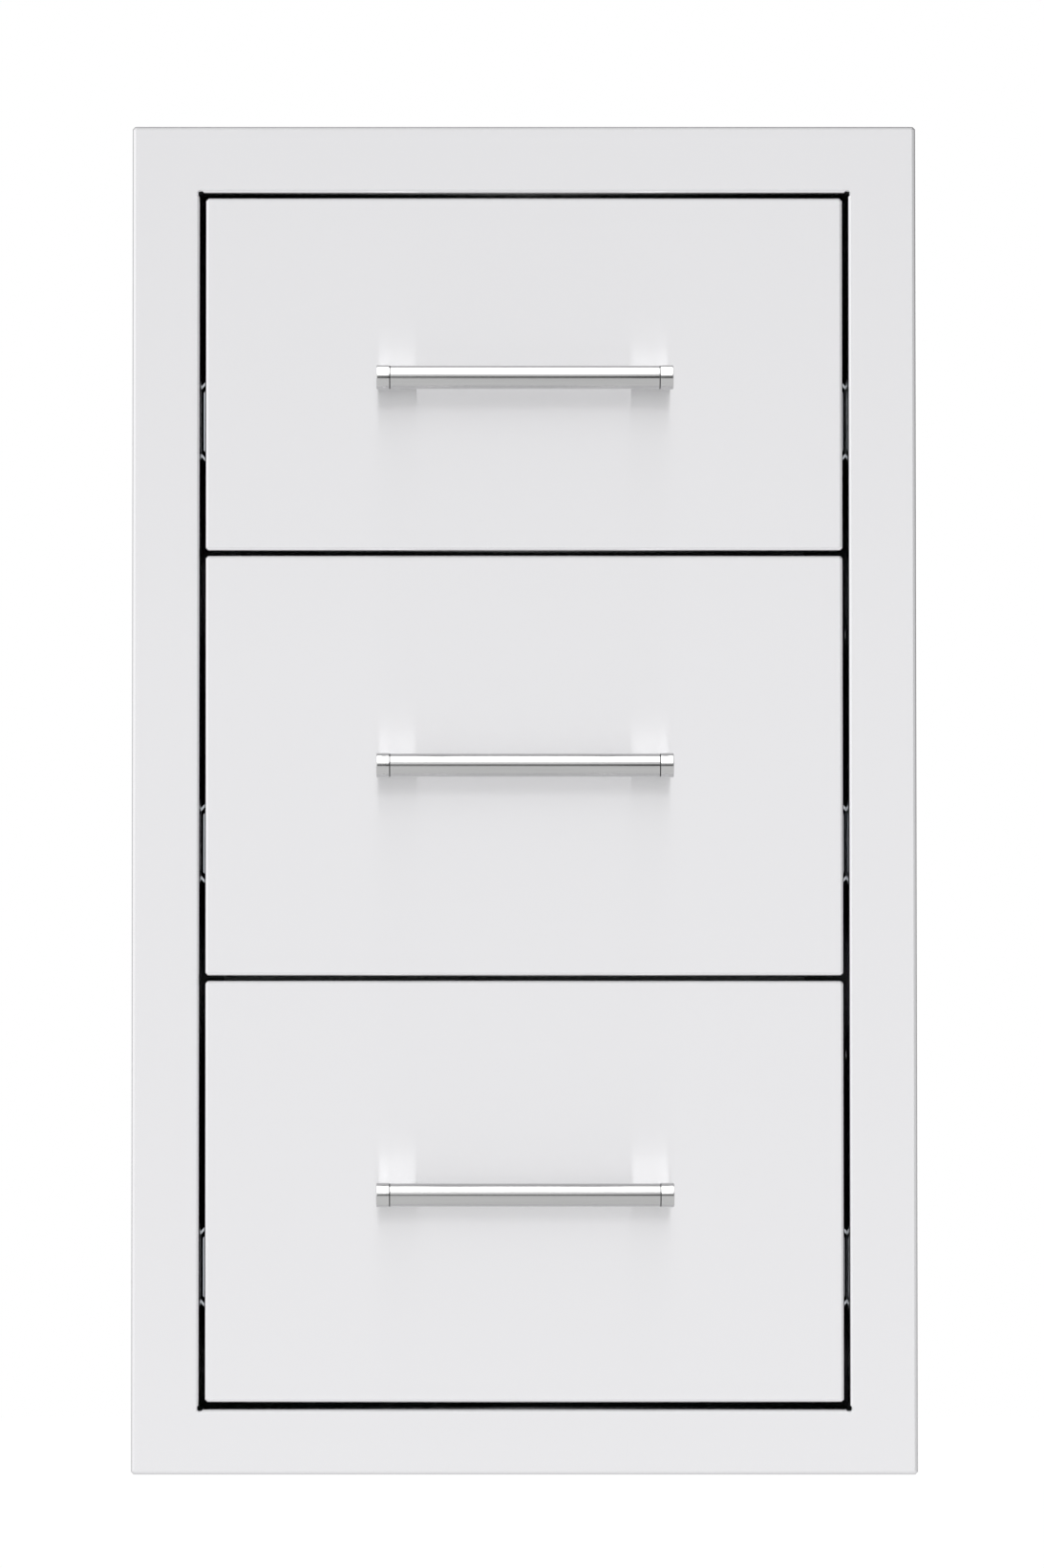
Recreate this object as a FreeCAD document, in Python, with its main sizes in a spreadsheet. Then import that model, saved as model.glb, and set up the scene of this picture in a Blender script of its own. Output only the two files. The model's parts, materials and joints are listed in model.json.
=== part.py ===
import FreeCAD, Part
import math
import os
import re
import Sketcher
from FreeCAD import Rotation, Vector

# Outdoor kitchen drawer unit: a face frame with a returned edge, an enclosed
# housing behind it, and three flush drawers on ball-bearing slides.
# The frame stands in the XZ plane, its front towards -Y and +Z up. Y = 0 is the
# plane where the frame's outer return bears on the wall, Z = 0 its lower edge.

# Driving sizes in millimetres: name, number, meaning
SIZES = (
    ("frame_width", 431.8, "overall width of the face frame"),
    ("frame_height", 742.0, "overall height of the face frame"),
    ("frame_depth", 12.7, "front face of the frame to the wall"),
    ("frame_gauge", 1.2, "sheet thickness of the face frame"),
    ("frame_bend", 2.2, "outside radius of the frame's folded edges"),
    ("frame_corner", 1.5, "bevel across the frame's outer corners"),
    ("side_border", 37.5, "width of the frame's face beside the opening"),
    ("top_border", 37.0, "width of the frame's face above the opening"),
    ("bottom_border", 36.0, "width of the frame's face below the opening"),
    ("opening_return", 25.0, "depth of the return round the opening"),
    ("relief_radius", 1.8, "radius of the notch at each opening corner"),
    ("housing_gauge", 1.0, "sheet thickness of the housing"),
    ("housing_depth", 508.0, "wall plane to the rear of the housing"),
    ("housing_flange", 11.0, "width of the housing's folded flanges"),
    ("housing_bend", 1.5, "mid radius of the housing's bends"),
    ("front_flange", 10.0, "width of the flange behind the frame"),
    ("mount_hole_radius", 2.75, "radius of the fixing holes"),
    ("mount_hole_setback", 40.0, "fixing holes behind the wall plane"),
    ("front_side_gap", 2.75, "gap between a front and the opening's side"),
    ("front_gap", 2.5, "gap above each front"),
    ("bottom_gap", 3.5, "gap below the lowest front"),
    ("front_depth", 18.0, "depth of a drawer front"),
    ("front_gauge", 1.2, "sheet thickness of a front's skin"),
    ("front_bend", 2.0, "outside radius of a front's folded edges"),
    ("front_corner", 1.5, "bevel across a front's corners"),
    ("liner_gauge", 1.0, "sheet thickness of a front's liner"),
    ("liner_depth", 14.0, "depth of a front's liner"),
    ("top_front_height", 195.0, "height of the top front"),
    ("middle_front_height", 231.5, "height of the middle front"),
    ("handle_length", 162.0, "handle, end to end"),
    ("handle_standoff", 38.0, "front's face to the bar's axis"),
    ("handle_drop", 102.6, "top front's upper edge to its handle"),
    ("handle_lift", 114.5, "middle of the handle above a lower front's edge"),
    ("bar_radius", 6.35, "outside radius of the handle bar"),
    ("cap_radius", 6.65, "radius of the handle's end caps"),
    ("cap_length", 7.0, "length of an end cap"),
    ("leg_width", 22.0, "width of a handle leg along the bar, cap included"),
    ("leg_inset", 0.25, "end of the cap to the side of its post"),
    ("leg_height", 6.4, "height of a handle leg"),
    ("leg_corner", 1.2, "bevel on a leg's long edges"),
    ("tray_gauge", 1.0, "sheet thickness of a tray"),
    ("tray_bend", 1.5, "mid radius of a tray's bends"),
    ("tray_lift", 22.0, "front's lower edge to the tray's floor"),
    ("tray_drop", 28.0, "front's upper edge to the tray's rim"),
    ("tray_hem", 8.0, "height of the hem along a tray's rim"),
    ("tray_length", 454.0, "liner to the rear of the tray"),
    ("tray_flange", 12.0, "width of a tray's front flanges"),
    ("back_depth", 12.0, "depth of the flanges on a tray's back"),
    ("back_drop", 12.0, "tray's rim to the top of its back"),
    ("slide_height", 45.0, "height of a drawer slide"),
    ("slide_thickness", 12.7, "thickness of a drawer slide"),
    ("slide_length", 450.0, "length of a slide's cabinet member"),
    ("slide_setback", 14.0, "wall plane to the front of the slides"),
    ("slide_lift", 73.5, "front's lower edge to the middle of its slides"),
    ("outer_gauge", 1.2, "sheet thickness of the cabinet and drawer members"),
    ("middle_gauge", 1.0, "sheet thickness of the middle member"),
    ("bumper_length", 4.0, "length of the rubber stop in each slide"),
    ("bumper_gap", 0.3, "gap between the stop and the moving members"),
    ("ball_radius", 1.6, "radius of the slide's balls"),
    ("race_gap", 0.2, "race radius less ball radius"),
    ("race_inset", 5.0, "side panel to the outer row of balls"),
    ("middle_web", 2.9, "side panel to the middle member's web"),
    ("cage_gauge", 0.4, "sheet thickness of a ball cage"),
    ("outer_cage_web", 1.8, "side panel to the outer cage's web"),
    ("outer_cage_lip", 1.36, "outer row of balls to the edge of its cage"),
    ("inner_cage_web", 4.2, "side panel to the inner cage's web"),
    ("cage_length", 200.0, "length of a ball cage"),
    ("cage_setback", 117.5, "front of the slide to its ball cages"),
    ("ball_pitch", 40.0, "distance between two balls in a row"),
    ("window_radius", 1.75, "half the width of a cage's ball window"),
    ("member_bend", 1.2, "mid radius of a slide member's bends"),
)

# Fixed angles of the slide's section, in degrees
SHOULDER = 50.0
RACE_TURN = 50.0
LIP = 20.0
TRAY_LIP = -150.0

BALLS_IN_A_ROW = 5
DRAWERS = ("top", "middle", "bottom")
SIDES = ("left", "right")

# Places that several sub-parts share, as formulas of the driving sizes
FACE = "-frame_depth"
FRONT_REAR = "(front_depth - frame_depth)"
OPENING_HALF = "(frame_width / 2 - side_border)"
OPENING_BOTTOM = "bottom_border"
OPENING_TOP = "(frame_height - top_border)"
FRONT_WIDTH = f"(2 * {OPENING_HALF} - 2 * front_side_gap)"
PANEL_INSIDE = f"({OPENING_HALF} + frame_gauge)"
HOUSING_FRONT = "(frame_gauge - frame_depth)"
PANEL_REAR = "(housing_depth - housing_gauge)"
SHELF_BOTTOM = f"({OPENING_BOTTOM} - frame_gauge)"
SHELF_TOP = f"({OPENING_TOP} + frame_gauge)"
TRAY_HALF = f"({PANEL_INSIDE} - slide_thickness)"
TRAY_REAR = f"({FRONT_REAR} + tray_length)"
BAR_AXIS = "(-frame_depth - handle_standoff)"
UPPER_HEIGHTS = "(top_front_height + middle_front_height)"
GAPS = "(3 * front_gap + bottom_gap)"
LOWER_HEIGHT = f"({OPENING_TOP} - {OPENING_BOTTOM} - {UPPER_HEIGHTS} - {GAPS})"
MEMBER_LENGTH = "(slide_length - bumper_length)"

doc = FreeCAD.newDocument("drawer_unit")
sheet = doc.addObject("Spreadsheet::Sheet", "sizes")
for row, (name, number, meaning) in enumerate(SIZES, start=1):
    sheet.set(f"A{row}", meaning)
    sheet.set(f"B{row}", str(number))
    sheet.setAlias(f"B{row}", name)
doc.recompute()

pieces = []


# Formulas
def formula(text):
    """Puts the sheet's name before each size in a formula."""
    return re.sub(r"\b[a-z]+(?:_[a-z]+)+\b", lambda word: "sizes." + word.group(0), str(text))


def value(text):
    """Works a formula out with the sheet's numbers."""
    return float(sheet.evalExpression(formula(text)))


def bind(thing, target, text):
    thing.setExpression(target, formula(text))


# Bodies and sketches
def new_body(label):
    body = doc.addObject("PartDesign::Body", label)
    body.Label = label
    pieces.append(body)
    return body


def origin_part(body, role):
    return next(part for part in body.Origin.OriginFeatures if part.Role == role)


def new_sketch(body, plane, distance="0"):
    """Attaches a sketch to one of the body's own planes, at a distance along its world axis."""
    sketch = body.newObject("Sketcher::SketchObject", f"{body.Name}_sketch")
    sketch.AttachmentSupport = [(origin_part(body, plane), "")]
    sketch.MapMode = "FlatFace"
    sign = "-1" if plane == "XZ_Plane" else "1"
    bind(sketch, "AttachmentOffset.Base.z", f"{sign} * ({distance})")
    return sketch


def bound(sketch, number, *where):
    index = sketch.addConstraint(Sketcher.Constraint(*where, value(number)))
    bind(sketch, f"Constraints[{index}]", number)


def pin(sketch, edge, end, x, y):
    bound(sketch, x, "DistanceX", -1, 1, edge, end)
    bound(sketch, y, "DistanceY", -1, 1, edge, end)


def circle(sketch, x, y, radius):
    place = Vector(value(x), value(y), 0)
    edge = sketch.addGeometry(Part.Circle(place, Vector(0, 0, 1), value(radius)))
    pin(sketch, edge, 3, x, y)
    bound(sketch, radius, "Radius", edge)


def arc(start, end, radius):
    """An arc of under half a circle, turning left from start to end where radius is positive."""
    chord = end - start
    left = Vector(-chord.y, chord.x, 0).normalize()
    reach = math.sqrt(max(radius**2 - chord.Length**2 / 4, 0.0))
    centre = (start + end) / 2 + left * math.copysign(reach, radius)
    first, last = (start, end) if radius > 0 else (end, start)
    angles = [math.atan2(at.y - centre.y, at.x - centre.x) for at in (first, last)]
    whole = Part.Circle(centre, Vector(0, 0, 1), abs(radius))
    return Part.ArcOfCircle(whole, *angles)


def outline(sketch, corners, flip=False):
    """Draws a closed outline through corners, each (x, y) or (x, y, radius of the arc that ends there)."""
    if flip:
        corners = [(f"-({x})", y, *(f"-({bend})" for bend in rest)) for x, y, *rest in corners]
    places = [Vector(value(corner[0]), value(corner[1]), 0) for corner in corners]
    edges = []
    for index, corner in enumerate(corners):
        start, end = places[index - 1], places[index]
        if len(corner) == 3:
            radius = value(corner[2])
            edge = sketch.addGeometry(arc(start, end, radius))
            edges.append((edge, 1, 2) if radius > 0 else (edge, 2, 1))
        else:
            edges.append((sketch.addGeometry(Part.LineSegment(start, end)), 1, 2))
    for index, corner in enumerate(corners):
        edge, first, last = edges[index]
        after, after_first, _ = edges[(index + 1) % len(edges)]
        sketch.addConstraint(Sketcher.Constraint("Coincident", edge, last, after, after_first))
        pin(sketch, edge, last, corner[0], corner[1])
        if len(corner) == 3:
            size = corner[2] if value(corner[2]) > 0 else f"-({corner[2]})"
            bound(sketch, size, "Radius", edge)


def rectangle(sketch, left, bottom, right, top):
    outline(sketch, [(left, bottom), (right, bottom), (right, top), (left, top)])


def bevelled_rectangle(sketch, left, bottom, right, top, bevel):
    outline(sketch, [
        (f"{left} + {bevel}", bottom), (f"{right} - {bevel}", bottom),
        (right, f"{bottom} + {bevel}"), (right, f"{top} - {bevel}"),
        (f"{right} - {bevel}", top), (f"{left} + {bevel}", top),
        (left, f"{top} - {bevel}"), (left, f"{bottom} + {bevel}"),
    ])


# Features
def pad(body, sketch, length, backwards=False):
    """Adds the sketch's area along its normal, or against it; an XZ sketch's normal is -Y."""
    feature = body.newObject("PartDesign::Pad", f"{body.Name}_pad")
    feature.Profile = sketch
    feature.Reversed = backwards
    bind(feature, "Length", length)
    doc.recompute()
    return feature


def cut(body, sketch, length=None, backwards=False):
    """Cuts the sketch's area against its normal, along it where backwards, or through everything."""
    before = body.Tip.Shape.Volume
    feature = body.newObject("PartDesign::Pocket", f"{body.Name}_pocket")
    feature.Profile = sketch
    if length is None:
        feature.Type = "ThroughAll"
        feature.Midplane = True
    else:
        feature.Reversed = backwards
        bind(feature, "Length", length)
    doc.recompute()
    if before - feature.Shape.Volume < 0.01:
        raise RuntimeError(f"a pocket of {body.Label} cuts nothing")
    return feature


def round_edges(body, radius, chosen):
    """Rounds the edges of the body's last feature that pass the test."""
    base = body.Tip
    names = [f"Edge{index}" for index, edge in enumerate(base.Shape.Edges, start=1) if chosen(edge)]
    feature = body.newObject("PartDesign::Fillet", f"{body.Name}_fillet")
    feature.Base = (base, names)
    bind(feature, "Radius", radius)
    doc.recompute()


def repeat(body, feature, axis, count, pitch):
    pattern = body.newObject("PartDesign::LinearPattern", f"{body.Name}_pattern")
    pattern.Originals = [feature]
    pattern.Direction = (origin_part(body, axis), [""])
    pattern.Occurrences = count
    bind(pattern, "Length", f"{count - 1} * {pitch}")
    body.Tip = pattern
    doc.recompute()


def place(body, x="0", y="0", z="0", half_turn=False):
    """Moves a body to its place, after half a turn about Y for a right-hand piece."""
    if half_turn:
        body.Placement.Rotation = Rotation(Vector(0, 1, 0), 180)
    bind(body, "Placement.Base.x", x)
    bind(body, "Placement.Base.y", y)
    bind(body, "Placement.Base.z", z)


def lies_at(edge, axis, number):
    """True where the whole edge lies at one coordinate."""
    box = edge.BoundBox
    low, high = getattr(box, f"{axis}Min"), getattr(box, f"{axis}Max")
    return abs(low - number) < 0.01 and abs(high - number) < 0.01


# Folded strips of even thickness, given by the path of their middle
def bend(x, y, heading, turn, radius, straight=False):
    """Two joints of a path that turns a corner, by an arc or a straight bevel; a positive turn is left."""
    reach = math.tan(math.radians(abs(turn) / 2))
    joints = []
    for angle, side in ((heading, -1), (heading + turn, 1)):
        step_x = side * reach * math.cos(math.radians(angle))
        step_y = side * reach * math.sin(math.radians(angle))
        joints.append([f"{x} + {radius} * ({step_x:.9f})", f"{y} + {radius} * ({step_y:.9f})", angle])
    if not straight:
        joints[1].append(radius if turn > 0 else f"-({radius})")
    return joints


def on_circle(x, y, radius, angle, heading, turn=None):
    """A joint of a path on a circle, reached by an arc where turn is 1 for left or -1 for right."""
    across = math.cos(math.radians(angle))
    up = math.sin(math.radians(angle))
    joint = [f"{x} + {radius} * ({across:.9f})", f"{y} + {radius} * ({up:.9f})", heading]
    return joint if turn is None else [*joint, f"{turn} * {radius}"]


def whole_path(half, upright):
    """Adds to half a path its mirror image, below it or, where upright is false, to its left."""
    mirrored = []
    for index in range(len(half) - 1, -1, -1):
        x, y, heading = half[index][:3]
        after = half[index + 1][3:] if index + 1 < len(half) else []
        if upright:
            mirrored.append([x, f"-({y})", 180 - heading, *after])
        else:
            mirrored.append([f"-({x})", y, -heading, *after])
    return [*mirrored, *half]


def strip(path, gauge):
    """The closed outline of a strip, half its gauge each side of a path."""
    def beside(joint, side):
        across = -side * math.sin(math.radians(joint[2]))
        up = side * math.cos(math.radians(joint[2]))
        return (
            f"{joint[0]} + {gauge} / 2 * ({across:.9f})",
            f"{joint[1]} + {gauge} / 2 * ({up:.9f})",
        )

    corners = [beside(path[0], 1)]
    for joint in path[1:]:
        arcs = [f"{joint[3]} - {gauge} / 2"] if len(joint) == 4 else []
        corners.append((*beside(joint, 1), *arcs))
    corners.append(beside(path[-1], -1))
    for index in range(len(path) - 2, -1, -1):
        after = path[index + 1]
        arcs = [f"-({after[3]} + {gauge} / 2)"] if len(after) == 4 else []
        corners.append((*beside(path[index], -1), *arcs))
    return corners


# Drawers, from the top down
def front_height(drawer):
    return {"top": "top_front_height", "middle": "middle_front_height"}.get(drawer, LOWER_HEIGHT)


def front_bottom(drawer):
    """Height of a front's lower edge."""
    bottom = f"({OPENING_BOTTOM} + bottom_gap)"
    middle = f"({bottom} + {LOWER_HEIGHT} + front_gap)"
    top = f"({middle} + middle_front_height + front_gap)"
    return {"top": top, "middle": middle, "bottom": bottom}[drawer]


def handle_height(drawer):
    if drawer == "top":
        return f"({front_bottom(drawer)} + top_front_height - handle_drop)"
    return f"({front_bottom(drawer)} + handle_lift)"


def slide_height(drawer):
    return f"({front_bottom(drawer)} + slide_lift)"


# Face frame: one folded sheet, its corners welded
def make_face_frame():
    body = new_body("face_frame")
    frame = ("-frame_width / 2", "0", "frame_width / 2", "frame_height")
    opening = (f"-{OPENING_HALF}", OPENING_BOTTOM, OPENING_HALF, OPENING_TOP)

    def grown(box, growth):
        left, bottom, right, top = box
        return f"{left} - {growth}", f"{bottom} - {growth}", f"{right} + {growth}", f"{top} + {growth}"

    ring = new_sketch(body, "XZ_Plane", FACE)
    bevelled_rectangle(ring, *frame, "frame_corner")
    rectangle(ring, *opening)
    pad(body, ring, "frame_depth", backwards=True)
    round_edges(body, "frame_bend", lambda edge: lies_at(edge, "Y", value(FACE)))

    channel = new_sketch(body, "XZ_Plane", "0")
    rectangle(channel, *grown(frame, "(-frame_gauge)"))
    rectangle(channel, *grown(opening, "frame_gauge"))
    cut(body, channel, "frame_depth - frame_gauge", backwards=True)

    collar = new_sketch(body, "XZ_Plane", "0")
    rectangle(collar, *grown(opening, "frame_gauge"))
    rectangle(collar, *opening)
    pad(body, collar, "opening_return - frame_depth", backwards=True)

    notches = new_sketch(body, "XZ_Plane", "0")
    for x in (f"-{OPENING_HALF}", OPENING_HALF):
        for y in (OPENING_BOTTOM, OPENING_TOP):
            circle(notches, x, y, "relief_radius")
    cut(body, notches)


# Housing
def make_side_panel(side):
    body = new_body(f"side_panel_{side}")
    right = side == "right"
    web = f"({PANEL_INSIDE} + housing_gauge / 2)"
    flange_end = f"{PANEL_INSIDE} - housing_flange"
    section = new_sketch(body, "XZ_Plane", HOUSING_FRONT)
    low = f"({SHELF_BOTTOM} - housing_gauge / 2)"
    high = f"({SHELF_TOP} + housing_gauge / 2)"
    path = [
        [flange_end, low, 0],
        *bend(web, low, 0, 90, "housing_bend"),
        *bend(web, high, 90, 90, "housing_bend"),
        [flange_end, high, 180],
    ]
    outline(section, strip(path, "housing_gauge"), flip=not right)
    pad(body, section, f"{PANEL_REAR} - {HOUSING_FRONT}", backwards=True)

    lip = new_sketch(body, "XZ_Plane", HOUSING_FRONT)
    sign = "" if right else "-"
    inner, outer = f"{sign}({PANEL_INSIDE})", f"{sign}({PANEL_INSIDE} + front_flange)"
    edges = (inner, outer) if right else (outer, inner)
    rectangle(lip, edges[0], f"{SHELF_BOTTOM} + housing_bend", edges[1], f"{SHELF_TOP} - housing_bend")
    pad(body, lip, "housing_gauge", backwards=True)

    holes = new_sketch(body, "YZ_Plane", "0")
    for drawer in ("bottom", "middle"):
        circle(holes, "mount_hole_setback", mount_hole_height(drawer), "mount_hole_radius")
    cut(body, holes)


def mount_hole_height(drawer):
    """Half way between a drawer's slides and those of the drawer above."""
    above = {"bottom": "middle", "middle": "top"}[drawer]
    return f"({slide_height(drawer)} + {slide_height(above)}) / 2"


def make_shelf_panel(label, inner_face, way):
    """Top or bottom panel: a flat sheet on the side panels' flanges, its front edge turned away from them."""
    body = new_body(label)
    half = f"({PANEL_INSIDE} + housing_gauge)"
    outer_face = f"{inner_face} + {way} * housing_gauge"
    turned = f"{inner_face} + {way} * front_flange"
    lip_rear = f"{HOUSING_FRONT} + housing_gauge"
    section = new_sketch(body, "YZ_Plane", f"-{half}")
    outline(section, [
        (HOUSING_FRONT, inner_face), (PANEL_REAR, inner_face), (PANEL_REAR, outer_face),
        (lip_rear, outer_face), (lip_rear, turned), (HOUSING_FRONT, turned),
    ])
    pad(body, section, f"2 * {half}")


# Shallow pans: a plate with four folded flanges
def make_pan(label, width, bottom, height, depth, gauge, face, rear_plate, bend_radius=None, corner=None):
    """A pan between face and face + depth in Y, with its plate at the front or at the rear."""
    body = new_body(label)
    block = new_sketch(body, "XZ_Plane", face)
    box = (f"-({width}) / 2", bottom, f"({width}) / 2", f"{bottom} + {height}")
    if corner:
        bevelled_rectangle(block, *box, corner)
    else:
        rectangle(block, *box)
    pad(body, block, depth, backwards=True)
    plate = f"{face} + {depth}" if rear_plate else face
    mouth = face if rear_plate else f"{face} + {depth}"
    if bend_radius:
        round_edges(body, bend_radius, lambda edge: lies_at(edge, "Y", value(plate)))
    hollow = new_sketch(body, "XZ_Plane", mouth)
    rectangle(
        hollow,
        f"{gauge} - ({width}) / 2",
        f"{bottom} + {gauge}",
        f"({width}) / 2 - {gauge}",
        f"{bottom} + {height} - {gauge}",
    )
    cut(body, hollow, f"{depth} - {gauge}", backwards=not rear_plate)
    return body


def make_back_panel():
    """A pan that wraps round the rear ends of the other panels."""
    bottom = f"({SHELF_BOTTOM} - 3 * housing_gauge)"
    make_pan(
        "back_panel", f"(2 * {PANEL_INSIDE} + 4 * housing_gauge)", bottom,
        f"({SHELF_TOP} + 3 * housing_gauge - {bottom})", "housing_flange", "housing_gauge",
        "(housing_depth - housing_flange)", True, "housing_bend",
    )


def make_front(drawer):
    """The outer skin with its folded edges, and the liner that closes it from behind."""
    bottom, height = front_bottom(drawer), f"({front_height(drawer)})"
    make_pan(
        f"front_skin_{drawer}", FRONT_WIDTH, bottom, height, "front_depth",
        "front_gauge", f"({FACE})", False, "front_bend", "front_corner",
    )
    make_pan(
        f"front_liner_{drawer}", f"({FRONT_WIDTH} - 2 * front_gauge)", f"({bottom} + front_gauge)",
        f"({height} - 2 * front_gauge)", "liner_depth", "liner_gauge",
        f"({FRONT_REAR} - liner_depth)", True,
    )


# Handle, drawn about the middle of its bar
def make_handle_bar(drawer):
    body = new_body(f"handle_bar_{drawer}")
    half = "(handle_length / 2 - cap_length)"
    section = new_sketch(body, "YZ_Plane", f"-{half}")
    circle(section, "0", "0", "bar_radius")
    pad(body, section, f"2 * {half}")
    place(body, y=BAR_AXIS, z=handle_height(drawer))


def make_handle_leg(drawer, side):
    """A cast leg: the cap at the bar's end, and a post with a half-round seat for the bar."""
    body = new_body(f"handle_leg_{drawer}_{side}")
    end, shoulder = "-handle_length / 2", "(cap_length - handle_length / 2)"
    cap = new_sketch(body, "YZ_Plane", shoulder)
    circle(cap, "0", "0", "cap_radius")
    pad(body, cap, "cap_length", backwards=True)

    post = new_sketch(body, "XZ_Plane", "handle_standoff")
    outer, inner = f"({end} + leg_inset)", f"({end} + leg_width)"
    bevelled_rectangle(post, outer, "-leg_height / 2", inner, "leg_height / 2", "leg_corner")
    pad(body, post, "handle_standoff")

    seat = new_sketch(body, "YZ_Plane", shoulder)
    circle(seat, "0", "0", "bar_radius")
    cut(body, seat, "leg_width", backwards=True)
    place(body, y=BAR_AXIS, z=handle_height(drawer), half_turn=side == "right")


# Tray
def make_tray(drawer):
    """Floor and sides from one sheet, a closed hem along each rim, and a flange at each front end."""
    body = new_body(f"tray_{drawer}")
    floor = f"({front_bottom(drawer)} + tray_lift)"
    rim = f"({front_bottom(drawer)} + {front_height(drawer)} - tray_drop)"
    side = f"({TRAY_HALF} - tray_gauge / 2)"
    half = [
        *bend(side, f"({floor} + tray_gauge / 2)", 0, 90, "tray_bend"),
        [side, rim, 90],
    ]
    section = new_sketch(body, "XZ_Plane", FRONT_REAR)
    outline(section, strip(whole_path(half, False), "tray_gauge"))
    pad(body, section, "tray_length", backwards=True)

    hems = new_sketch(body, "XZ_Plane", FRONT_REAR)
    near, far = f"({TRAY_HALF} - 2 * tray_gauge)", f"({TRAY_HALF} - tray_gauge)"
    rectangle(hems, f"-{far}", f"{rim} - tray_hem", f"-{near}", rim)
    rectangle(hems, near, f"{rim} - tray_hem", far, rim)
    pad(body, hems, "tray_length", backwards=True)

    flanges = new_sketch(body, "XZ_Plane", FRONT_REAR)
    inner = f"({TRAY_HALF} - tray_flange)"
    outer = f"({TRAY_HALF} - tray_gauge / 2)"
    low, high = f"{floor} + 2 * tray_bend", f"{rim} - 2 * tray_hem"
    rectangle(flanges, f"-{outer}", low, f"-{inner}", high)
    rectangle(flanges, inner, low, outer, high)
    pad(body, flanges, "tray_gauge", backwards=True)


def make_tray_back(drawer):
    floor = f"({front_bottom(drawer)} + tray_lift + tray_bend + tray_gauge / 2)"
    rim = f"({front_bottom(drawer)} + {front_height(drawer)} - tray_drop - back_drop)"
    make_pan(
        f"tray_back_{drawer}", f"(2 * {TRAY_HALF} - 2 * tray_gauge)", floor, f"({rim} - {floor})",
        "back_depth", "tray_gauge", f"({TRAY_REAR} - back_depth)", True,
    )


# Slides: x from the side panel towards the drawer, y up from the middle of the section
OUTER_ROW = ("race_inset", "(slide_height / 2 - outer_gauge - ball_radius - race_gap)")
MIDDLE_RACE = "(ball_radius + race_gap + middle_gauge / 2)"
OUTER_RACE = "(ball_radius + race_gap + outer_gauge / 2)"
ROW_STEP = (math.cos(math.radians(RACE_TURN)), math.sin(math.radians(RACE_TURN)))
INNER_ROW = (
    f"({OUTER_ROW[0]} + 2 * {MIDDLE_RACE} * {ROW_STEP[0]:.9f})",
    f"({OUTER_ROW[1]} - 2 * {MIDDLE_RACE} * {ROW_STEP[1]:.9f})",
)
RISE = math.tan(math.radians(SHOULDER))


def outer_section():
    """The cabinet member: a web, a sloping shoulder and a lip hooked over the outer balls."""
    web = "(outer_gauge / 2)"
    start = on_circle(*OUTER_ROW, OUTER_RACE, 90 + SHOULDER, SHOULDER)
    corner = f"({start[1]} - {RISE:.9f} * ({start[0]} - {web}))"
    half = [
        *bend(web, corner, 90, SHOULDER - 90, "member_bend"),
        start,
        on_circle(*OUTER_ROW, OUTER_RACE, LIP, LIP - 90, -1),
    ]
    return strip(whole_path(half, True), "outer_gauge")


def middle_section():
    """The middle member: each leg waves under the outer balls and over the inner ones."""
    leg = f"({OUTER_ROW[1]} - {MIDDLE_RACE})"
    half = [
        *bend("middle_web", leg, 90, -90, "member_bend", straight=True),
        [OUTER_ROW[0], leg, 0],
        on_circle(*OUTER_ROW, MIDDLE_RACE, -RACE_TURN, 90 - RACE_TURN, 1),
        on_circle(*INNER_ROW, MIDDLE_RACE, LIP, LIP - 90, -1),
    ]
    return strip(whole_path(half, True), "middle_gauge")


def inner_section():
    """The drawer member: its legs reach back under the inner balls."""
    web = "(slide_thickness - outer_gauge / 2)"
    leg = f"({INNER_ROW[1]} - {OUTER_RACE})"
    half = [
        *bend(web, leg, 90, 90, "member_bend", straight=True),
        [INNER_ROW[0], leg, 180],
        on_circle(*INNER_ROW, OUTER_RACE, TRAY_LIP, TRAY_LIP + 270, -1),
    ]
    return strip(whole_path(half, True), "outer_gauge")


def outer_cage_section():
    """A U-shaped strip whose legs slope under the shoulder and level out at the balls."""
    level = f"({OUTER_ROW[1]} - cage_gauge)"
    knee = f"({OUTER_ROW[0]} - window_radius - cage_gauge / 2)"
    corner = f"({level} - {RISE:.9f} * ({knee} - outer_cage_web))"
    half = [
        ["outer_cage_web", corner, 90 - (90 - SHOULDER) / 2],
        [knee, level, SHOULDER / 2],
        [f"{OUTER_ROW[0]} + outer_cage_lip", level, 0],
    ]
    return strip(whole_path(half, True), "cage_gauge")


def inner_cage_section():
    level = f"({INNER_ROW[1]} - cage_gauge / 2)"
    half = [["inner_cage_web", level, 45], [f"{INNER_ROW[0]} + ball_radius", level, 0]]
    return strip(whole_path(half, True), "cage_gauge")


def slide_member(label, section, length, drawer, side):
    body = new_body(label)
    sketch = new_sketch(body, "XZ_Plane", "slide_setback")
    outline(sketch, section)
    pad(body, sketch, length, backwards=True)
    right = side == "right"
    inside = PANEL_INSIDE if right else f"-{PANEL_INSIDE}"
    place(body, x=inside, z=slide_height(drawer), half_turn=right)


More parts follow.
